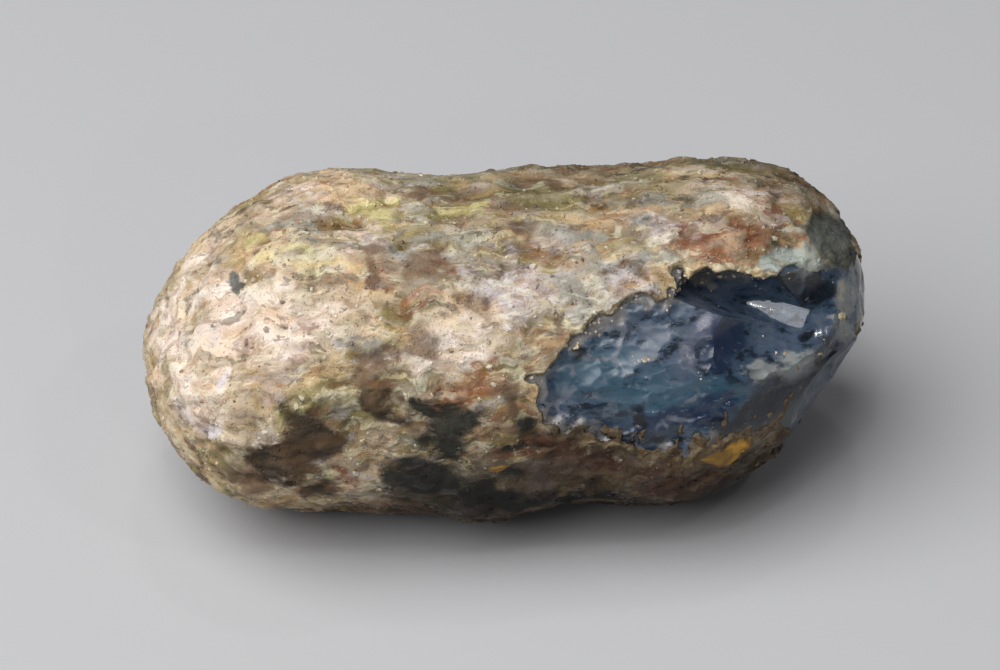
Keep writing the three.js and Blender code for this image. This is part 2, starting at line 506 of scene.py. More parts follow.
# The crust's colours lie in patches: each patch's middle on the stone, half its width across the
# stone, and how many times longer it is along the stone.
STAINS = {
    "tan": (
        ((-19, -6, 17), 7.0, 1.0), ((-18.5, -11, 13), 2.6, 1.4), ((-13.5, -8, 19), 3.4, 1.2),
        ((-10.8, -7, 20.4), 1.7, 1.6), ((-21.5, -3, 18.5), 2.2, 1.0), ((-11.5, 4, 22.2), 3.0, 1.8),
        ((-20, 1.5, 19.5), 2.4, 1.2), ((-16, 1.5, 21.5), 1.6, 1.8), ((-10, -11.5, 12.5), 1.6, 1.0),
        ((-8.3, -11, 5.8), 1.2, 2.4), ((16, -0.6, 22), 2.0, 1.8), ((7.5, -1.5, 21.8), 1.4, 2.4),
        ((-3, -8, 20), 1.8, 2.4), ((2.9, -11.2, 5.4), 1.0, 2.6), ((5, -5, 21.2), 1.4, 2.2),
    ),
    "pale": (
        ((-18, -7, 18.6), 2.2, 1.3), ((-13, 3.4, 22.2), 1.6, 1.6), ((-20.3, -6.4, 17.6), 4.4, 1.1),
        ((-22, -8, 14.6), 2.6, 1.0), ((-15.5, -8.2, 19), 2.6, 1.3), ((-4.9, -9.7, 18.2), 1.7, 1.7),
        ((-3, -9.4, 18.6), 1.6, 1.5), ((-0.6, -6.4, 20.7), 2.1, 1.5), ((16, -0.4, 22.2), 1.1, 2.4),
        ((11, -2.9, 22), 0.8, 2.6), ((-12, -4, 21.4), 1.0, 2.0), ((-23.8, -2, 15.4), 2.6, 1.0),
        ((-24.4, -4.6, 12.9), 1.6, 1.0), ((-22, 0.4, 18), 2.4, 1.0), ((-22.3, -8.1, 7.9), 1.2, 1.0),
        ((-10.9, -1.4, 22.2), 1.0, 1.8), ((-14.6, 4, 22), 1.5, 1.4), ((-13, 8, 18), 2.6, 1.5),
        ((5, 11, 15), 2.6, 1.6), ((-20, 6, 9), 2.6, 1.0),
    ),
    "mauve": (
        ((0.8, -7.4, 20), 1.4, 1.7), ((-0.9, -6, 20.9), 1.8, 1.6), ((9.5, -2.4, 22.1), 1.0, 3.0),
        ((7.4, -6.4, 20.9), 1.4, 2.2), ((-9.4, -3.3, 21.8), 0.7, 3.2), ((-22, -9, 12.6), 1.0, 1.4),
        ((-18.5, -9, 16), 1.0, 2.0), ((0.5, -9.4, 18.6), 1.1, 1.4), ((4.9, -7.4, 20.1), 1.3, 1.8),
        ((6, -7.6, 20.2), 0.8, 2.2), ((-2.4, -3.4, 21.6), 0.8, 2.4), ((0, 12, 12), 2.4, 1.6),
    ),
    "ochre": (
        ((-24, -2, 12), 1.8, 1.0), ((-24, -6, 10), 2.6, 1.0), ((-22.6, -7.6, 10.5), 1.6, 1.0),
        ((-19.3, -10.4, 6.8), 2.6, 1.7), ((-21.5, -8.8, 9.5), 1.8, 1.2), ((-18.5, -2.4, 20.2), 1.0, 1.9),
        ((-11.4, 3.4, 22.3), 1.3, 1.8), ((-9.6, -5.2, 21.2), 1.1, 2.0), ((-13.5, -11.2, 16.2), 1.7, 1.4),
        ((3.8, 5, 21), 1.6, 2.6), ((5.5, -0.6, 21.8), 1.2, 2.6), ((12.5, 3.2, 22), 1.6, 2.2),
        ((14.6, -1.4, 22.2), 0.8, 2.0), ((10, 10, 17), 2.6, 1.6), ((-9, 12, 14), 2.8, 1.6),
        ((18, 8, 14), 2.6, 1.2), ((-22, 3, 17), 2.4, 1.0), ((-2, 11.5, 5), 2.8, 2.0),
        ((-11.5, -12, 9), 0.9, 1.4), ((-16.5, -10.8, 17), 0.8, 2.2), ((-8, -11.2, 6), 1.1, 2.6),
    ),
    "yellow": (
        ((-15.5, -3.6, 21.4), 1.0, 1.7), ((-8.7, 0.9, 22.4), 1.5, 1.5), ((-3.3, 0.4, 21.9), 0.9, 2.4),
        ((-13.7, -12, 8.8), 0.7, 1.2), ((-17.2, -1.2, 21), 0.8, 2.0), ((2, -1.2, 22), 0.6, 2.6),
        ((-8, 12, 18), 1.4, 2.0), ((-15, -11.8, 14.6), 0.6, 2.4), ((6.5, 1.6, 21.8), 0.7, 2.4),
    ),
    "olive": (
        ((-4.6, 4.6, 21.3), 1.8, 2.8), ((1.5, 2.2, 21.9), 1.5, 2.6), ((8.5, 3.6, 21.5), 1.6, 2.4),
        ((-12.6, -11.5, 14.6), 1.8, 1.6), ((-19.6, -10.8, 6.6), 1.4, 1.6), ((-7.6, -7.6, 20.0), 1.0, 2.0),
        ((-17.4, -11.9, 12), 1.5, 1.8), ((14, 5, 21), 1.8, 2.4), ((-20.4, -10.3, 9.6), 1.6, 1.4),
        ((-6, -0.6, 22.2), 0.7, 2.6), ((-10, 9, 19), 2.4, 2.0), ((4, 9, 19), 2.4, 2.4),
        ((-18, 8, 14), 2.6, 1.4), ((11, -6.4, 20.9), 0.6, 1.6),
    ),
    "grey": (
        ((5.8, -4.9, 21), 1.3, 1.8), ((8.4, -2.1, 21.9), 0.9, 2.0), ((13.4, -0.6, 22.4), 0.9, 2.2),
        ((-8.4, -3.4, 21.9), 0.7, 2.4), ((9.3, -5.5, 21.3), 1.0, 2.2), ((4.8, -7.7, 20), 1.5, 1.4),
        ((-4.2, -2.7, 21.9), 1.2, 2.2), ((1.9, -2.2, 22), 1.1, 2.2), ((-14.3, -0.5, 22.2), 1.0, 2.6),
        ((-12.6, -2, 22), 0.7, 2.4), ((9.2, 0.4, 22), 1.2, 2.0), ((-7.5, -12, 12.3), 1.0, 1.4),
        ((4, -2.6, 21.8), 0.8, 2.4), ((-20.5, -8.8, 11.6), 0.7, 1.8), ((23.5, 1, 17), 2.4, 1.0),
        ((13, 9, 19), 2.0, 1.4), ((-10.8, -9.6, 18.2), 1.0, 1.8),
    ),
    "rust": (
        ((-4.2, -11.2, 15.8), 1.3, 1.7), ((-2.6, -10.6, 17.2), 0.7, 1.6), ((-9.4, -5, 21.1), 0.8, 2.0),
        ((-6.4, -7.2, 20.2), 0.7, 2.2), ((-5, -5.2, 21.1), 0.7, 2.4), ((1, -12.6, 11.2), 1.3, 2.0),
        ((4.5, -12.6, 10), 1.3, 1.8), ((8, -13, 8.5), 1.3, 2.4), ((14.8, -4, 21.6), 2.2, 1.5),
        ((6, -4.6, 21.2), 0.5, 3.6), ((-19, -9.2, 14.4), 0.5, 1.6), ((-12.2, -11.9, 9.2), 0.9, 1.2),
        ((11.5, -12, 6.5), 1.6, 2.4), ((-7.5, -11, 5.5), 0.8, 3.0), ((6, 12, 10), 2.4, 1.4),
        ((-16, 10, 8), 2.2, 1.3), ((20, 7, 18), 1.4, 1.4), ((-14.6, -0.2, 22.2), 0.5, 1.4),
        ((12.6, 3.4, 22), 0.6, 2.6), ((18.6, -1, 21.6), 0.7, 1.4),
    ),
    "cream": (
        ((3.2, -8.8, 19.2), 0.6, 2.0), ((1.9, -9.3, 18.8), 0.9, 1.2), ((0.3, -10.2, 18), 1.0, 1.0),
        ((-0.7, -11.4, 16.2), 0.9, 0.9), ((-22, 3, 13), 1.6, 1.0), ((0, 10, 19), 1.8, 1.6),
        ((2.5, -12.5, 8), 0.5, 3.0), ((-10.5, -12, 7), 0.6, 2.0), ((-13, 0.6, 22.3), 0.7, 1.0),
        ((-13.4, -5, 21.4), 1.0, 1.6), ((3.6, -4.8, 21), 0.4, 2.4),
    ),
    "brown": (
        ((-2, -12.5, 13.6), 0.8, 1.6), ((2.7, -12.5, 13.2), 1.0, 1.6), ((-1.7, -12, 15.3), 0.9, 1.4),
        # The brown patch low on the left lobe, at (-18.6, -11.2, 9), is painted shade.
        ((-8.2, -11.9, 13.2), 0.9, 1.6), ((-10.4, -10, 17.4), 1.3, 0.9), ((-18.6, -11.2, 9), 1.8, 1.5),
        ((-6.5, -9.2, 18.7), 1.0, 1.3), ((-6.8, -4.8, 21.3), 1.1, 2.4), ((-4.5, 2.6, 21.8), 0.9, 3.0),
        ((-8.6, -9.4, 18), 0.7, 1.0), ((-2.6, -7.6, 20.2), 0.6, 2.4), ((0.2, -2.6, 22), 0.8, 3.0),
        ((-10, -3.8, 21.7), 0.6, 2.8), ((6.6, -5.2, 21), 0.5, 3.0), ((-9.5, -4.9, 21.4), 0.7, 2.0),
        ((9, 4.6, 21.4), 0.6, 3.0), ((13.2, -3.4, 21.6), 0.7, 1.6), ((18, 2, 21.4), 1.0, 1.8),
        ((2.6, 3.6, 21.6), 0.7, 3.0), ((-15, 1.2, 21.8), 0.6, 1.8), ((-22, 1, 7), 2.4, 1.0),
        ((9.4, -6.8, 20.8), 0.7, 2.2), ((12.5, -12, 5.4), 1.8, 2.4),
    ),
    "umber": (
        ((-16.6, -12.1, 11.5), 2.6, 1.1), ((-14.8, -12.1, 12.5), 2.1, 1.2), ((-9.0, -11.3, 15.0), 1.3, 0.8),
        ((-14.8, -11.6, 7), 1.2, 2.0), ((-1, 12, 8), 2.8, 1.8), ((12, 9, 8), 2.8, 1.4),
        ((-12, 0.5, 0.5), 4.0, 2.0), ((4, 2, 0.5), 5.0, 2.0),
    ),
    "green": (
        ((-5.4, -12.1, 12.7), 2.3, 1.0), ((-6, -12.3, 9.1), 1.5, 2.4), ((-3.4, -12.4, 8.2), 1.4, 2.2),
        ((-1.3, -12.2, 6.2), 1.7, 2.2), ((-9.3, -12.1, 10.4), 0.6, 2.0), ((0.6, -12.5, 13.6), 1.2, 1.3),
        ((3.5, -12.3, 5.6), 1.3, 2.6), ((-0.2, -12.6, 11.6), 0.6, 1.8), ((-6.5, -11.6, 14.7), 0.7, 1.2),
        ((14, 8, 19), 1.8, 1.4), ((-6, 11, 17), 1.8, 1.8), ((9.6, 2.4, 21.9), 0.5, 2.6),
    ),
    "slate": (
        ((-18.9, -3.8, 19.8), 0.9, 1.3), ((22.3, -1.4, 19), 2.1, 0.9), ((24.2, -0.6, 17.6), 2.0, 0.7),
        ((24, 2.4, 17), 1.8, 0.9),
    ),
    "band": (
        ((19, -4.2, 19.9), 1.3, 1.6), ((17.2, -5.2, 20.5), 0.5, 2.4), ((20.6, -3.6, 19.4), 0.8, 1.2),
        ((23.8, -2.2, 17.6), 0.7, 1.2),
    ),
    "gold": (
        ((-1.5, -12.7, 9.7), 0.45, 1.0), ((13.7, -12.5, 10.1), 0.9, 1.7), ((15.2, -12, 10.8), 0.5, 1.4),
    ),
}


def patch(points, middles):
    """How strongly one colour lies at each point: 1 in the middle of its patches, 0.5 at their
    edges, 0 away from them."""
    strongest = np.zeros(len(points))
    for middle, width, long in middles:
        away = np.linalg.norm((points - middle) / (long, 1, 1), axis=1) / width
        strongest = np.maximum(strongest, 1 - 0.5 * away)
    return strongest


def mark(mesh, **strengths):
    """Stores strengths on the mesh under their names: a number for each point, or one for all."""
    for name, values in strengths.items():
        attribute = mesh.attributes.new(name, "FLOAT", "POINT")
        each = np.broadcast_to(values, len(mesh.vertices)).astype(np.float32)
        attribute.data.foreach_set("value", each)


def mark_stains(mesh, points):
    """Stores each colour's strength on the mesh; the material makes their edges ragged."""
    wandering = warped(warped(points, 4.0, 1.5), 1.3, 0.7)
    streaks = lumps(warped(points, 2.0, 0.8) / LONG, 1.0, 2.7)
    for name, middles in STAINS.items():
        mark(mesh, **{name: patch(wandering, middles) + 0.12 * streaks})


def shade_stain(points):
    """How far the crust is darkened, by painted shade and partly by dark stain: its top and back a
    little, the belt low on its front and the rim under the bare face a lot."""
    ragged_up = points[:, 2] + 1.3 * lumps(points, 3.0, 8.6) + 0.6 * lumps(points, 1.0, 1.7)
    top = 0.25 * ramp(points[:, 0], -9, -2) * ramp(points[:, 1], -5.0, 2.0)
    top += 0.4 * ramp(points[:, 0], -3, 5) * ramp(points[:, 1], 2.5, 6.0)
    ragged_up -= 3.2 * ramp(points[:, 0], -9, 5)
    ragged_along = points[:, 0] + 1.5 * lumps(points, 2.5, 4.6)
    belt = ramp(ragged_up, 11.6, 7.0) * ramp(ragged_along, -12.5, -6.5)
    rim = 0.8 * ramp(inside_at(points), -3.0, -0.5) * ramp(points[:, 2], 15, 12.5)
    end = rim + 0.2 * ramp(points[:, 0], 17.5, 21) * ramp(points[:, 1], -4, 0)
    return np.clip(np.maximum(top, belt) + end, 0, 1)


def earth_stain(points):
    """Darker low on the stone and underneath: painted shade, and earth in the pores."""
    low = ramp(points[:, 2] + 2 * lumps(points, 4.0, 1.6), 9.5, 4.0)
    return low * (1 - 0.6 * ramp(points[:, 0], -12, -16))


def face_share(mesh, origin):
    """How far each vertex lies on faces of one origin, 0 to 1."""
    origins = read(mesh.attributes["origin"].data, "value", kind=np.int32)
    corners = read(mesh.loops, "vertex_index", kind=np.int32)
    sizes = read(mesh.polygons, "loop_total", kind=np.int32)
    on = np.repeat(origins == origin, sizes)
    count = np.bincount(corners, minlength=len(mesh.vertices))
    return np.bincount(corners, on, len(mesh.vertices)) / np.maximum(count, 1)


crust_points = points_of(crust.data)
mark_stains(crust.data, crust_points)
mark(crust.data, height=crust_relief(crust_points), own=0.45)
mark(crust.data, earth=earth_stain(crust_points), shade=shade_stain(crust_points))
mark(crust.data, section=face_share(crust.data, SECTION), underneath=face_share(crust.data, INSIDE))

# Each stain: where its strength starts to show and is whole, how much it covers, and the two
# colours it varies between.
STAIN_COLOURS = {
    "tan": (0.34, 0.8, 0.8, (214, 186, 158), (178, 151, 122)),
    "pale": (0.3, 0.76, 0.86, (240, 220, 208), (216, 190, 172)),
    "mauve": (0.36, 0.68, 0.8, (214, 204, 208), (158, 144, 142)),
    "ochre": (0.36, 0.7, 0.82, (216, 186, 144), (172, 138, 98)),
    "olive": (0.34, 0.7, 0.84, (130, 118, 74), (100, 90, 58)),
    "yellow": (0.38, 0.74, 0.8, (222, 208, 146), (184, 167, 112)),
    "grey": (0.4, 0.66, 0.82, (144, 140, 130), (106, 100, 92)),
    "rust": (0.4, 0.64, 0.86, (146, 88, 52), (112, 62, 40)),
    "cream": (0.38, 0.64, 0.8, (234, 222, 186), (204, 184, 136)),
    "brown": (0.34, 0.7, 0.85, (92, 68, 48), (124, 98, 76)),
    "umber": (0.38, 0.64, 0.94, (38, 28, 18), (78, 56, 36)),
    "green": (0.36, 0.72, 0.95, (14, 16, 14), (36, 38, 31)),
    "band": (0.4, 0.66, 0.82, (172, 179, 173), (134, 142, 136)),
    "slate": (0.36, 0.56, 0.9, (60, 66, 62), (100, 104, 98)),
    "gold": (0.42, 0.6, 0.9, (180, 134, 54), (128, 94, 42)),
}
LOWER_STAINS = ("tan", "pale", "mauve", "ochre", "olive", "yellow", "grey", "rust", "cream")
UPPER_STAINS = ("brown", "umber", "green", "band", "slate")

# Strokes of colour along the stone, under and over the lower stains: size in mm, shift, where the
# noise starts to show and is whole, colour, and how much they cover.
UNDER_STROKES = (
    (3.0, 0.03, 0.52, 0.6, (104, 90, 54), 0.65), (1.8, 0.05, 0.52, 0.6, (154, 136, 84), 0.7),
    (2.4, 0.09, 0.54, 0.62, (146, 134, 116), 0.7), (1.6, 0.13, 0.54, 0.62, (142, 92, 50), 0.7),
    (1.2, 0.17, 0.56, 0.64, (212, 192, 150), 0.7), (1.3, 0.25, 0.57, 0.64, (56, 47, 34), 0.7),
)
OVER_STROKES = (
    (2.0, 0.31, 0.53, 0.61, (216, 170, 120), 0.34), (1.6, 0.37, 0.54, 0.62, (176, 166, 166), 0.42),
    (1.9, 0.41, 0.54, 0.62, (126, 106, 54), 0.46), (1.3, 0.47, 0.56, 0.62, (130, 80, 54), 0.42),
    (1.2, 0.53, 0.56, 0.62, (250, 238, 208), 0.3), (1.1, 0.59, 0.58, 0.64, (58, 46, 34), 0.55),
)
LESS_RED = (0.955, 1.0, 1.0)  # a cast over the whole crust, so that its tans don't look pink


def paint(red, green, blue):
    """A colour given as 0 to 255 on a screen."""
    return tuple(
        ((part / 255 + 0.055) / 1.055) ** 2.4 if part > 10 else part / 3294
        for part in (red, green, blue)
    )


def put(tree, kind, settings=(), **inputs):
    """Adds a node. Inputs are values or other nodes' sockets, by number after a _, or by name
    with _ for a space."""
    node = tree.nodes.new("ShaderNode" + kind)
    for name, value in dict(settings).items():
        setattr(node, name, value)
    for name, value in inputs.items():
        socket = node.inputs[int(name[1:]) if name[1:].isdigit() else name.replace("_", " ")]
        if isinstance(value, bpy.types.NodeSocket):
            tree.links.new(value, socket)
        elif socket.type == "RGBA" and len(value) == 3:
            socket.default_value = (*value, 1)
        else:
            socket.default_value = value
    return node


def maths(tree, operation, a, b=0.0):
    return put(tree, "Math", {"operation": operation}, _0=a, _1=b).outputs[0]


def blend(tree, share, under, over, kind="MIX"):
    """One colour laid over another."""
    settings = {"data_type": "RGBA", "blend_type": kind}
    return put(tree, "Mix", settings, _0=share, _6=under, _7=over).outputs[2]


def laid(tree, colour, share, tint, most):
    """The colour with a tint over a share of it, and never more than most of it."""
    return blend(tree, maths(tree, "MULTIPLY", share, most), colour, tint)


def darkened(tree, colour, share, tint):
    """The colour with a share of it dulled by a dark tint."""
    return blend(tree, share, colour, blend(tree, 1.0, colour, paint(*tint), "MULTIPLY"))


def spread(tree, value, low, high, out_low=0.0, out_high=1.0):
    """Eased from low..high to out_low..out_high."""
    eased = {"interpolation_type": "SMOOTHSTEP"}
    ends = {"_1": low, "_2": high, "_3": out_low, "_4": out_high}
    return put(tree, "MapRange", eased, _0=value, **ends).outputs[0]


def noise(tree, place, size, detail=3.0, rough=0.55, output="Fac"):
    """Cloudy noise with features of the given size in mm."""
    scale = 1 / (size * MM)
    made = put(tree, "TexNoise", Vector=place, Scale=scale, Detail=detail, Roughness=rough)
    return made.outputs[output]


def cells(tree, place, size, output="Distance"):
    """Packed cells of the given size in mm."""
    return put(tree, "TexVoronoi", Vector=place, Scale=1 / (size * MM)).outputs[output]


def stretched(tree, place, along):
    """Drawn out along the stone."""
    return put(tree, "Mapping", Vector=place, Scale=(1 / along, 1, 1)).outputs[0]


def marked(tree, name):
    """A strength that the mesh is marked with."""
    return put(tree, "Attribute", {"attribute_name": name}).outputs["Fac"]


def ragged_patch():
    """A group that turns a mark's strength into a mask, its edge broken up by noise."""
    group = bpy.data.node_groups.new("ragged patch", "ShaderNodeTree")
    for name in ("Strength", "Breakup", "Low", "High"):
        group.interface.new_socket(name, in_out="INPUT", socket_type="NodeSocketFloat")
    group.interface.new_socket("Mask", in_out="OUTPUT", socket_type="NodeSocketFloat")
    given = group.nodes.new("NodeGroupInput").outputs
    result = group.nodes.new("NodeGroupOutput").inputs
    either_way = maths(group, "SUBTRACT", given["Breakup"], 0.5)
    broken = maths(group, "ADD", given["Strength"], either_way)
    group.links.new(spread(group, broken, given["Low"], given["High"]), result["Mask"])
    return group


ragged = ragged_patch()


def mask(tree, name, breakup, low, high):
    """Where a mark lies, with ragged edges."""
    given = {"Strength": marked(tree, name), "Breakup": breakup, "Low": low, "High": high}
    return put(tree, "Group", {"node_tree": ragged}, **given).outputs["Mask"]


def new_material(name):
    """A material, its nodes, its shader, and the place on the piece."""
    material = bpy.data.materials.new(name)
    material.use_nodes = True
    tree = material.node_tree
    place = put(tree, "TexCoord").outputs["Object"]
    return material, tree, tree.nodes["Principled BSDF"], place


def crust_colour(tree, long, fine, speck):
    """Strokes and stains along the stone, with grain, wear and pale section over them, then painted shade,
    earth and darker pits.
    """
    breakup = noise(tree, long, 1.2, 6.0, 0.68)

    def stroke(size, shift, low, high):
        moved = put(tree, "Mapping", Vector=long, Location=(shift, shift, 0)).outputs[0]
        return spread(tree, noise(tree, moved, size, 4.0, 0.62), low, high)

    def stroked(colour, strokes):
        for size, shift, low, high, tint, most in strokes:
            colour = laid(tree, colour, stroke(size, shift, low, high), paint(*tint), most)
        return colour

    def stained(colour, names):
        for name in names:
            low, high, most, one, other = STAIN_COLOURS[name]
            tint = blend(tree, variation, paint(*one), paint(*other))
            colour = laid(tree, colour, mask(tree, name, breakup, low, high), tint, most)
        return colour

    variation = stroke(1.2, 0.21, 0.4, 0.6)
    colour = blend(tree, stroke(2.4, 0.01, 0.4, 0.6), paint(120, 100, 80), paint(168, 145, 118))
    colour = stroked(colour, UNDER_STROKES)
    colour = stained(colour, LOWER_STAINS)
    colour = stroked(colour, OVER_STROKES)
    # Rubbed paler where it stands out, with light and dark grain.
    height = marked(tree, "height")
    paler = blend(tree, 0.22, colour, paint(234, 222, 200))
    colour = blend(tree, spread(tree, height, 0.0, 0.22, 0.0, 0.8), colour, paler)
    colour = laid(tree, colour, spread(tree, fine, 0.58, 0.75), paint(70, 54, 40), 0.4)
    colour = laid(tree, colour, spread(tree, fine, 0.42, 0.25), paint(218, 202, 170), 0.3)
    colour = laid(tree, colour, spread(tree, speck, 0.6, 0.7), paint(66, 52, 40), 0.5)
    own = marked(tree, "own")
    colour = laid(tree, colour, spread(tree, own, 0.3, 0.05), paint(84, 66, 50), 0.6)
    colour = laid(tree, colour, spread(tree, own, 0.6, 0.95), paint(228, 218, 200), 0.45)
    # Pale where it broke, then the stains that cover everything.
    section = blend(tree, spread(tree, fine, 0.4, 0.6), paint(226, 210, 176), paint(172, 142, 104))
    colour = blend(tree, marked(tree, "section"), colour, section)
    colour = stained(colour, UPPER_STAINS)
    # Painted shade on the top, the back, the low belt and the rim under the bare face, partly dark stain.
    shade = maths(tree, "MULTIPLY", marked(tree, "shade"), 0.88)
    colour = darkened(tree, colour, shade, (90, 76, 62))
    colour = stained(colour, ("gold",))
    # Painted shade with earth low down, darker in the pits, and plain brown inside, against the amber.
    earth = spread(tree, marked(tree, "earth"), 0.2, 1.0, 0.0, 0.6)
    colour = darkened(tree, colour, earth, (138, 112, 88))
    pitted = spread(tree, height, -0.04, -0.42, 0.0, 0.75)
    colour = darkened(tree, colour, pitted, (150, 128, 106))
    colour = blend(tree, marked(tree, "underneath"), colour, paint(92, 74, 56))
    return blend(tree, 1.0, colour, LESS_RED, "MULTIPLY")


def crust_material():
    """Dull and granular, with a few grains that glint."""
    material, tree, shader, place = new_material("weathered crust")
    push = noise(tree, place, 2.5, 2.0, 0.5, "Color")
    push = put(tree, "VectorMath", {"operation": "SUBTRACT"}, _0=push, _1=(0.5,) * 3).outputs[0]
    pushed = {"_0": push, "_1": (2 * MM,) * 3, "_2": place}
    place = put(tree, "VectorMath", {"operation": "MULTIPLY_ADD"}, **pushed).outputs[0]
    long = stretched(tree, place, 2.3)
    fine = noise(tree, long, 0.35, 3.0, 0.6)
    speck = noise(tree, place, 0.16, 2.0, 0.5)
    tree.links.new(crust_colour(tree, long, fine, speck), shader.inputs["Base Color"])
    shine = put(tree, "SeparateColor", Color=cells(tree, long, 0.5, "Color")).outputs[0]
    tree.links.new(spread(tree, shine, 0.86, 0.97, 0.75, 0.16), shader.inputs["Roughness"])
    pores = maths(tree, "MULTIPLY", cells(tree, place, 0.3), -0.6)
    pores = maths(tree, "ADD", pores, maths(tree, "MULTIPLY", speck, 0.7))
    bump = put(tree, "Bump", Height=pores, Strength=0.6, Distance=0.08 * MM)
    tree.links.new(bump.outputs[0], shader.inputs["Normal"])
    shader.inputs["IOR"].default_value = 1.45
    shader.inputs["Specular IOR Level"].default_value = 0.42
    return material


crust_stuff = crust_material()
crust.data.materials.clear()
crust.data.materials.append(crust_stuff)
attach(crust, "root")
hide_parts(STONE)

# ---- Grains on the crust ------------------------------------------------------------------------
# Sand, mineral grains and crumbs of oxidised amber, a tenth to half a millimetre across, grown
# into the crust's face. Each is a small angular lump, half sunk in the crust.

GRAIN_COUNT = 8500
GRAIN_SIZE = (0.05, 0.22)  # smallest and largest half width
GRAIN_CORNERS = 12


def spots_on(mesh, count, seed, weight):
    """Random places on a mesh, as thick as the weight says, and the way out at each."""
    random = np.random.RandomState(seed)
    mesh.calc_loop_triangles()
    corners = read(mesh.loop_triangles, "vertices", 3, np.int32)
    points = points_of(mesh)[corners]
    ways = normals_of(mesh)[corners]
    sides = points[:, 1:] - points[:, :1]
    area = np.linalg.norm(np.cross(sides[:, 0], sides[:, 1]), axis=1)
    area *= weight(points.mean(1), ways.mean(1), corners)
    chosen = random.choice(len(area), count, p=area / area.sum())
    share = random.dirichlet((1, 1, 1), count)[:, :, None]
    way = (ways[chosen] * share).sum(1)
    return (points[chosen] * share).sum(1), way / np.linalg.norm(way, axis=1)[:, None]


def widths_between(smallest, largest, random, count, fewer):
    """Random half widths; the higher fewer is, the fewer are large."""
    return smallest * (largest / smallest) ** (random.uniform(0, 1, count) ** fewer)


def crumbs(name, spots, ways, half_widths, flatness, seed, sunk=0.35):
    """Small angular lumps, each with its own shape and turn, as one mesh."""
    random = np.random.RandomState(seed)
    shape = bmesh.new()
    bmesh.ops.create_icosphere(shape, subdivisions=1, radius=1)
    ball = np.array([vertex.co[:] for vertex in shape.verts])
    faces = np.array([[vertex.index for vertex in face.verts] for face in shape.faces])
    shape.free()
    count = len(spots)
    across = np.cross(ways, random.normal(size=(count, 3)))
    across /= np.linalg.norm(across, axis=1)[:, None]
    axes = np.stack([across, np.cross(ways, across), ways], 1)
    size = half_widths[:, None] * random.uniform(0.7, 1.3, (count, 3)) * (1, 1, flatness)
    lumpy = ball * random.uniform(0.6, 1.25, (count, len(ball), 1)) * size[:, None, :]
    places = np.einsum("nvi,nij->nvj", lumpy, axes)
    places += (spots + ways * (size[:, 2] * (1 - 2 * sunk))[:, None])[:, None, :]
    numbers = faces[None] + np.arange(count)[:, None, None] * len(ball)
    mesh = bpy.data.meshes.new(name)
    mesh.from_pydata((places.reshape(-1, 3) * MM).tolist(), [], numbers.reshape(-1, 3).tolist())
    mark(mesh, own=np.repeat(random.uniform(0, 1, count), len(ball)))
    return mesh


def on_the_face(middles, ways, corners):
    """Only the crust's outside, and not the foot the stone rests on."""
    underneath = read(crust.data.attributes["underneath"].data, "value")
    outside = underneath[corners].max(1) < 0.01
    thick = 0.35 + ramp(lumps(middles, 3.0, 4.9), -0.2, 0.4)
    return outside * (middles[:, 2] > 0.5) * thick


def grains_mesh():
    random = np.random.RandomState(31)
    spots, ways = spots_on(crust.data, GRAIN_COUNT, 30, on_the_face)
    widths = widths_between(*GRAIN_SIZE, random, GRAIN_COUNT, 2.2)
    mesh = crumbs("crust grains", spots, ways, widths, 0.6, 32, 0.5)
    points = points_of(mesh)
    mark_stains(mesh, np.repeat(spots, GRAIN_CORNERS, axis=0))
    mark(mesh, height=0.1, earth=earth_stain(points), shade=shade_stain(points))
    mark(mesh, section=0, underneath=0)
    return mesh


crust_grains = piece_of(grains_mesh(), "crust_grains")
crust_grains.data.materials.append(crust_stuff)
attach(crust_grains, "root")

# ---- The amber ----------------------------------------------------------------------------------
# Clear dark amber that looks blue: its face glows blue, and light that goes through it loses its
# red. It broke like glass, in shells with sharp ridges between them, and is scaly where the crust
# flaked off. It fills the crust and reaches a little into it.

AMBER_CELL = 0.5
BREAK_CELL = 0.11
SEAT = 0.06  # how far in mm it reaches into the crust


def chips(points, size, shift, tilt=0.9):
    """Overlapping shell-shaped chips: the height of the lowest bowl at each point, sharp-ridged
    where bowls meet, and how near the ridge is."""
    place = points / size + shift
    cell = np.floor(place).astype(int)
    lowest = np.full(len(points), 9.0)
    next_lowest = lowest.copy()
    for neighbour in NEIGHBOURS:
        name = shuffled(cell + neighbour)
        away = place - (cell + neighbour + SEEDS[name])
        bowl = 0.6 * (away**2).sum(1) + tilt * (away * DIRECTIONS[name]).sum(1)
        bowl += 0.35 * SEEDS[name, 1]
        next_lowest = np.minimum(next_lowest, np.maximum(bowl, lowest))
        lowest = np.minimum(lowest, bowl)
    return lowest, ramp(next_lowest - lowest, 0.14, 0.0)


# The shells within the larger breaks: their size in mm and how far they stand out.
SHELLS = {"scoop": (3.2, 0.0), "undercut": (2.6, 0.9), "notch": (1.8, 0.45), "tip": (1.9, 0.75)}
STRUCK_AT = (27, -8, 19)  # where ripples spread from, as from a blow
RIPPLE_LENGTH = 0.8
RIPPLE_HEIGHT = 0.012
SWELL_HEIGHT = 0.06
BREAK_SUNK = 0.17  # how far in mm the amber's own breaks lie below the frame's


def glassy(places, break_name):
    """Faint ripples, shells and broad swells on a fresh break."""
    away = np.linalg.norm(places - STRUCK_AT, axis=1)
    ripple = np.sin(2 * math.pi * away / RIPPLE_LENGTH + 2.5 * lumps(places, 3.0, 2.0))
    ripple *= RIPPLE_HEIGHT * ramp(lumps(places, 2.5, 4.0), -0.1, 0.6)
    if break_name in SMALL_BREAKS:
        return 0.5 * ripple
    size, high = SHELLS[break_name]
    shells = high * (chips(warped(places, 2.0, 0.5), size, 2.2, 0.6)[0] + 0.3)
    return ripple + shells + SWELL_HEIGHT * lumps(places, 4.0, 9.0) - BREAK_SUNK


def big_chips(places):
    return chips(warped(places, 1.8, 0.4) / (1.5, 1, 1), 2.0, 6.4)


def small_chips(places):
    return chips(warped(places, 0.8, 0.15) / (1.6, 1, 1), 0.75, 1.3, 1.1)


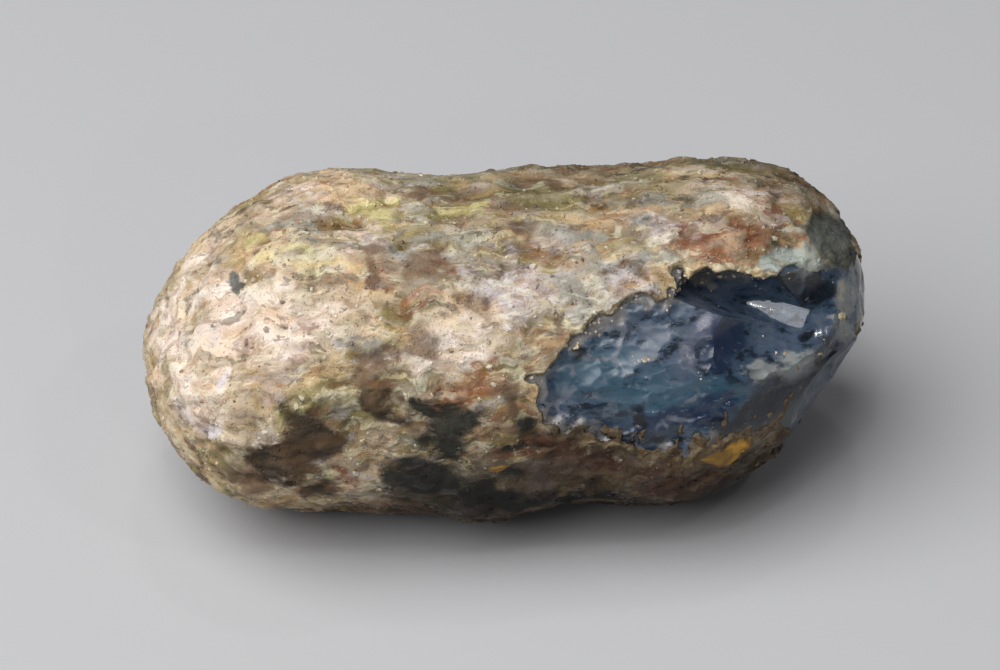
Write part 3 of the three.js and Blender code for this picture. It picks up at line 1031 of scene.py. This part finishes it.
def scaliness(points):
    """1 on the left of the bare face, where it is scaly, and 0 on the glassy right."""
    return ramp(points[:, 0], 15.0, 10.5)


def amber_flaked_depth(places, inside):
    """Just under the crust, scaly with chips; outside the edge it rises into the amber."""
    scaly = scaliness(places)
    relief = 0.5 * big_chips(places)[0] + 0.26 * small_chips(places)[0] * (0.25 + 0.75 * scaly)
    deep = crust_thickness(places) + 0.05 + (0.15 + 0.5 * scaly) * ramp(inside, -0.3, 2.2)
    deep -= relief * (0.3 + 0.7 * scaly) * ramp(inside, -0.3, 1.0)
    return deep - 1.6 * ramp(inside, 0.3, -0.15)


# Small breaks in the amber alone, placed as the stone rests: deepest point, way out, radii across,
# up and in, reach across and up, and roll in degrees.
SMALL_BREAKS = {
    "ledge": ((19.15, -5.38, 15.85), (-0.18, -0.58, 0.79), (3.6, 0.8, 0.12), (7.5, 2.4), -8),
    "groove": ((14.4, -6.2, 19.5), (0.1, -0.66, 0.74), (3.0, 0.5, 1.0), (3.3, 0.8), -32),
    "chip left": ((17.0, -9.5, 14.2), (-0.1, -0.6, 0.79), (1.3, 0.55, 0.4), (1.6, 0.8), 8),
    "chip middle": ((18.7, -8.8, 13.9), (0.0, -0.6, 0.8), (1.2, 0.5, 0.4), (1.5, 0.75), -10),
    "chip right": ((20.3, -7.8, 13.8), (0.1, -0.62, 0.78), (1.1, 0.5, 0.35), (1.4, 0.75), 5),
    "face shell": ((13.0, -9.3, 16.8), (-0.12, -0.8, 0.58), (3.0, 2.4, 4.0), (2.2, 1.8), 25),
}


def amber_mesh():
    body = even_cells(nodule, "amber body", AMBER_CELL, 12)
    points = points_of(body)
    depth = crust_thickness(points) - SEAT
    move_points(body, points - normals_of(body) * depth[:, None])
    tools = large_breaks(BREAK_CELL, glassy)
    for name, (deepest, out, radii, reach, roll) in SMALL_BREAKS.items():
        tools.append(shell_break(name, deepest, out, radii, reach, BREAK_CELL, glassy, roll))
    tools.append(flaked_break("flaked", BREAK_CELL, amber_flaked_depth))
    return less(body, "amber", *tools)


amber = piece_of(amber_mesh(), "blue_amber")
smooth(amber.data)
amber.data.set_sharp_from_angle(angle=math.radians(32))

# The amber's colours lie in patches too, given as the crust's are.
AMBER_TINTS = {
    # The lilac patches are a painted sheen: the soft light's reflection on smoother parts of the bare face
    # and in the scoop.
    "lilac_painted_sheen": (
        ((12.8, -7.2, 19), 1.4, 1.2), ((12.3, -9.3, 18.4), 1.8, 1.2), ((11.5, -9.5, 17), 1.2, 1.2),
        ((6, -9, 19), 1.0, 2.5), ((18.2, -6, 16.8), 1.0, 2.6), ((2.6, -11.4, 16.6), 0.9, 1.4),
        ((8.4, -8.8, 19.3), 1.0, 2.0),
    ),
    "teal": (
        ((5, -10.5, 16.3), 2.2, 1.5), ((8, -11.5, 14.5), 2.0, 2.0), ((13, -11.6, 13.6), 2.4, 1.3),
    ),
    "navy": (
        ((15.5, -6.8, 19.6), 1.0, 1.6), ((17, -6, 18.4), 1.0, 1.8), ((14.6, -8.6, 17), 1.4, 1.6),
        ((14, -10, 16), 1.2, 1.0), ((7, -12.8, 12.2), 1.2, 1.4), ((9.5, -12, 13), 1.2, 1.6),
        ((5.2, -9.4, 18.4), 0.7, 1.4), ((12.5, -12, 13), 1.4, 2.0),
    ),
    # Most of the dark patches are painted shade: in the groove along the ridge, on the scoop's upper wall
    # and below the lens, in the undercut, round the tip and low on the bare face.
    "dark": (
        ((18.8, -5.3, 18.3), 1.0, 1.6), ((20.8, -4.7, 17.7), 1.1, 1.2), ((20.2, -6.6, 15.2), 0.5, 1.8),
        ((18.5, -9.6, 10.5), 3.2, 1.6), ((21.5, -6.5, 11.5), 3.0, 1.2), ((14.5, -12.2, 11.5), 1.6, 1.4),
        ((24.5, 1, 13), 4.0, 0.8), ((8.5, -12.2, 13.6), 0.9, 1.6), ((4, -10.2, 17.2), 0.8, 1.6),
        ((12.6, -6.6, 20.4), 0.45, 1.8), ((14, -6.6, 19.8), 0.5, 1.6), ((15.4, -6.6, 19.0), 0.5, 1.6),
        ((1.8, -12.2, 14.2), 1.0, 1.4), ((5, -12.9, 12.2), 0.9, 1.6), ((8.6, -12.9, 11.6), 0.7, 2.0),
    ),
    "frost": (
        ((23.4, -3.6, 16.2), 1.7, 1.0), ((22.8, -5, 14.6), 1.2, 1.2), ((19.4, -8.5, 13.6), 1.5, 1.8),
        ((17.4, -9.6, 14.3), 1.1, 2.0), ((24.4, -2, 17.2), 1.2, 1.0), ((19.6, -4.8, 18.6), 0.6, 2.6),
    ),
}


def mark_tints(mesh, points):
    """Stores the amber's patches on the mesh, and where it is scaly, crushed or near the crust."""
    wandering = warped(warped(points, 3.0, 0.9), 1.0, 0.4)
    for name, middles in AMBER_TINTS.items():
        mark(mesh, **{name: patch(wandering, middles)})
    scaly = scaliness(points)
    ridges = 0.8 * big_chips(points)[1] + 0.6 * small_chips(points)[1]
    crushed = ridges * (0.15 + 0.85 * scaly) * (0.5 + lumps(points, 1.5, 6.0))
    # Paler near the crust's edge: crust residue, and painted light that lifts the shadow the edge casts.
    near_edge = ramp(inside_at(points), 2.0, 0.3) * ramp(points[:, 0], 18, 15)
    mark(mesh, scaly=scaly, crushed=crushed, near_edge=near_edge)


mark_tints(amber.data, points_of(amber.data))


def amber_colour(tree, place, fleck):
    """Cloudy blue, flecked light and dark, with its patches, including painted sheen and painted shade, and
    crushed ridges over it.
    """
    cloud = spread(tree, noise(tree, place, 3.5, 3.0, 0.5), 0.4, 0.62)
    fine = noise(tree, stretched(tree, place, 2.0), 0.3, 3.0, 0.6)

    def tinted(colour, name, low, high, tint, most):
        return laid(tree, colour, mask(tree, name, fleck, low, high), tint, most)

    colour = blend(tree, cloud, paint(96, 124, 154), paint(122, 144, 174))
    colour = laid(tree, colour, spread(tree, fleck, 0.5, 0.64), paint(160, 170, 188), 0.65)
    colour = laid(tree, colour, spread(tree, fleck, 0.49, 0.36), paint(24, 34, 44), 0.8)
    colour = tinted(colour, "teal", 0.4, 0.75, paint(92, 142, 168), 0.75)
    # Painted sheen.
    colour = tinted(colour, "lilac_painted_sheen", 0.4, 0.8, paint(150, 152, 178), 0.65)
    colour = tinted(colour, "navy", 0.4, 0.7, paint(58, 78, 118), 0.9)
    frost = blend(tree, spread(tree, fleck, 0.4, 0.6), paint(186, 194, 194), paint(240, 244, 238))
    colour = tinted(colour, "frost", 0.42, 0.7, frost, 0.9)
    colour = tinted(colour, "crushed", 0.3, 0.8, paint(190, 196, 212), 0.7)
    # Painted light and crust residue near the crust's edge.
    colour = tinted(colour, "near_edge", 0.4, 0.8, paint(214, 208, 200), 0.8)
    # Dark patches, mostly painted shade.
    colour = tinted(colour, "dark", 0.4, 0.66, paint(24, 31, 38), 0.9)
    return laid(tree, colour, spread(tree, fine, 0.62, 0.72), paint(200, 202, 210), 0.45)


def amber_material():
    """Glossy and see-through; duller where it is scaly or frosted."""
    material, tree, shader, place = new_material("blue amber")
    fleck = noise(tree, stretched(tree, place, 2.0), 0.9, 5.0, 0.65)
    tree.links.new(amber_colour(tree, place, fleck), shader.inputs["Base Color"])
    shine = spread(tree, fleck, 0.35, 0.7, 0.05, 0.22)
    for dull, most in ((marked(tree, "scaly"), 0.2), (mask(tree, "frost", fleck, 0.42, 0.7), 0.3)):
        shine = maths(tree, "ADD", shine, maths(tree, "MULTIPLY", dull, most))
    tree.links.new(shine, shader.inputs["Roughness"])
    shader.inputs["IOR"].default_value = 1.54
    shader.inputs["Transmission Weight"].default_value = 0.7
    absorbing = put(tree, "VolumeAbsorption", Color=(0.22, 0.42, 0.62), Density=800.0)
    tree.links.new(absorbing.outputs[0], tree.nodes["Material Output"].inputs["Volume"])
    return material


amber.data.materials.clear()
amber.data.materials.append(amber_material())
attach(amber, "root")

# ---- Crumbs left on the bare face ---------------------------------------------------------------
# Flat crumbs of crust still stuck to the amber where the rest flaked off, thickest along the
# crust's broken edge, with a few flecks further in. They are the same stuff as the crust, and
# each is set a third of its depth into the amber.

CRUMB_COUNT = 800
CRUMB_SIZE = (0.03, 0.17)  # smallest and largest half width
FLECK_SIZE = (0.4, 0.3, 0.2)
# Where crumbs lie together in a fleck.
FLECKS = (
    (12.3, -11.1, 15.5), (12.0, -11.0, 15.6), (8.0, -10.1, 16.5), (18.2, -8.1, 14.7), (6.7, -9.1, 18.4),
    (3.7, -9.2, 18.7), (5.1, -12.3, 13.7), (10.9, -11.6, 14.5), (3.3, -9.4, 18.5), (1.6, -10.2, 18.0),
)


def by_a_fleck(points):
    """1 in the middle of a fleck, 0 away from them."""
    return sum(np.exp(-(((points - fleck) / FLECK_SIZE) ** 2).sum(1)) for fleck in FLECKS)


def by_the_edge(middles, ways, corners):
    """Only the bare face, mostly within a millimetre of the crust's edge."""
    inside = inside_at(middles)
    close = ramp(inside, 1.8, -0.2) ** 2 + 0.03 * ramp(lumps(middles, 1.5, 1.9), 0.3, 0.6)
    close += 5 * by_a_fleck(middles)
    close *= ramp(middles[:, 0], 20, 14)
    return close * (inside > -0.3) * (ways @ FLAKED_AXES[2] > 0.2)


def crumbs_mesh():
    random = np.random.RandomState(41)
    spots, ways = spots_on(amber.data, CRUMB_COUNT, 40, by_the_edge)
    widths = widths_between(*CRUMB_SIZE, random, CRUMB_COUNT, 1.5)
    widths *= 1 + 2 * by_a_fleck(spots)
    mesh = crumbs("crumbs", spots, ways, widths, 0.35, 42, 0.3)
    mark(mesh, **dict.fromkeys(STAINS, 0) | {"pale": 0.75, "cream": 0.4})
    mark(mesh, height=0.1, earth=0, section=0, underneath=0)
    mark(mesh, shade=shade_stain(np.repeat(spots, GRAIN_CORNERS, axis=0)))
    return mesh


left_crumbs = piece_of(crumbs_mesh(), "left_crumbs")
left_crumbs.data.materials.append(crust_stuff)
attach(left_crumbs, "root")

# ---- Sealed in the amber ------------------------------------------------------------------------
# What the resin caught before it set: brown and black plant debris, and clouds of fine gas
# bubbles, which look like pale specks. All of it lies under the bare face, where it can be seen.

DEBRIS_COUNT = 150
SPECK_COUNT = 1500


def seen_from_face(middles, ways, corners):
    """Only the amber that shows in the bare face."""
    return (inside_at(middles) > 0.3) * (ways @ FLAKED_AXES[2] > 0.4)


def in_clouds(middles, ways, corners):
    """Behind the bare face, gathered into clouds."""
    clouds = ramp(lumps(middles, 3.0, 7.1), 0.05, 0.5)
    return seen_from_face(middles, ways, corners) * (clouds + 0.05)


def sealed(name, count, seed, weight, half_widths, depths, flatness):
    """Bits of one kind sealed at given depths in mm under the bare face."""
    random = np.random.RandomState(seed)
    spots, ways = spots_on(amber.data, count, seed, weight)
    deep = depths[0] + (depths[1] - depths[0]) * random.uniform(0, 1, count) ** 1.5
    widths = widths_between(*half_widths, random, count, 2)
    turned = ways + random.normal(scale=0.6, size=ways.shape)
    turned /= np.linalg.norm(turned, axis=1)[:, None]
    return crumbs(name, spots - ways * deep[:, None], turned, widths, flatness, seed + 1)


def sealed_material(name, dark, light, shine):
    """Bits of one kind, each with its own colour between dark and light."""
    material, tree, shader, place = new_material(name)
    cloudy = maths(tree, "SUBTRACT", noise(tree, place, 0.15), 0.5)
    share = maths(tree, "ADD", marked(tree, "own"), cloudy)
    colour = blend(tree, spread(tree, share, 0.1, 0.9), paint(*dark), paint(*light))
    tree.links.new(colour, shader.inputs["Base Color"])
    roughness = spread(tree, share, 0.2, 0.8, shine, shine + 0.2)
    tree.links.new(roughness, shader.inputs["Roughness"])
    return material


debris_mesh = sealed("debris", DEBRIS_COUNT, 50, seen_from_face, (0.06, 0.5), (0.35, 3.0), 0.25)
debris_mesh.materials.append(sealed_material("plant debris", (30, 22, 16), (150, 112, 70), 0.5))
debris = piece_of(debris_mesh, "sealed_debris")
specks_mesh = sealed("specks", SPECK_COUNT, 60, in_clouds, (0.02, 0.075), (0.15, 2.2), 0.8)
specks_mesh.materials.append(sealed_material("gas specks", (150, 158, 178), (226, 230, 238), 0.2))
specks = piece_of(specks_mesh, "gas_specks")
for piece in (debris, specks):
    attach(piece, "root")

# ---- Floor, light and camera --------------------------------------------------------------------
# A pale floor, flat under the stone and rising far off into a wide dish, so that no edge shows.
# One large soft light from the upper left, four small ones that put glints on the wet-looking
# amber, and a dim even sky. The camera looks down on the stone's front.

ROUND = 96  # corners round each ring of the floor
FLAT_OUT_TO = 0.9
DISH_RADIUS = 0.9
FLOOR_GREY = (0.45, 0.45, 0.46, 1)

rings = [(far, 0) for far in (0.02, 0.3, 0.6, FLAT_OUT_TO)]
for bend in np.linspace(0.1, 1.5, 15):
    rings.append((FLAT_OUT_TO + DISH_RADIUS * math.sin(bend), DISH_RADIUS * (1 - math.cos(bend))))
turns = np.linspace(0, 2 * math.pi, ROUND + 1)[:-1]
floor_points = [(far * math.cos(turn), far * math.sin(turn), up) for far, up in rings for turn in turns]
floor_faces = [tuple(range(ROUND))]
for inner in range(0, (len(rings) - 1) * ROUND, ROUND):
    for step in range(ROUND):
        after = (step + 1) % ROUND
        outer = inner + ROUND
        floor_faces.append((inner + step, outer + step, outer + after, inner + after))
floor_mesh = bpy.data.meshes.new("floor")
floor_mesh.from_pydata(floor_points, [], floor_faces)
smooth(floor_mesh)
floor = piece_of(floor_mesh, "floor")
pale = bpy.data.materials.new("pale floor")
pale.use_nodes = True
pale.node_tree.nodes["Principled BSDF"].inputs["Base Color"].default_value = FLOOR_GREY
pale.node_tree.nodes["Principled BSDF"].inputs["Roughness"].default_value = 0.8
floor.data.materials.append(pale)

LIT = Vector((0, 0, 0.01))  # what the lights face
GLINT_LIGHTS = ((-0.06, -0.2, 0.46), (0.22, -0.17, 0.4), (0.04, 0.15, 0.48), (0.1, -0.45, 0.28))


def soft_light(name, size, power, place):
    light = bpy.data.lights.new(name, "AREA")
    light.shape = "DISK"
    light.size = size
    light.energy = power
    lamp = bpy.data.objects.new(name, light)
    lamp.location = place
    lamp.rotation_euler = (LIT - Vector(place)).to_track_quat("-Z", "Y").to_euler()
    bpy.context.scene.collection.objects.link(lamp)


soft_light("key", 0.7, 5.0, (-0.26, -0.13, 0.47))
for number, place in enumerate(GLINT_LIGHTS):
    soft_light(f"glint {number}", 0.03, 0.09, place)
world = bpy.data.worlds.new("studio")
world.use_nodes = True
world.node_tree.nodes["Background"].inputs["Color"].default_value = (0.5, 0.52, 0.56, 1)
world.node_tree.nodes["Background"].inputs["Strength"].default_value = 0.19
bpy.context.scene.world = world
bpy.context.scene.view_settings.view_transform = "Standard"

CAMERA_FROM = (-5.0, 38.0)  # degrees round from the front, and above the floor
CAMERA_AWAY = 0.35
AIM = Vector((-0.6, 0.0, 11.4)) * MM
WIDTH_SEEN = 69.541 * MM  # across the view, at the aim
SENSOR = 36
turn, rise = (math.radians(angle) for angle in CAMERA_FROM)
back = Vector((math.sin(turn) * math.cos(rise), -math.cos(turn) * math.cos(rise), math.sin(rise)))
lens = bpy.data.cameras.new("camera")
lens.sensor_width = SENSOR
lens.lens = SENSOR * CAMERA_AWAY / WIDTH_SEEN
lens.clip_start = 0.01
camera = bpy.data.objects.new("camera", lens)
camera.location = AIM + back * CAMERA_AWAY
camera.rotation_euler = back.to_track_quat("Z", "Y").to_euler()
bpy.context.scene.collection.objects.link(camera)
bpy.context.scene.camera = camera
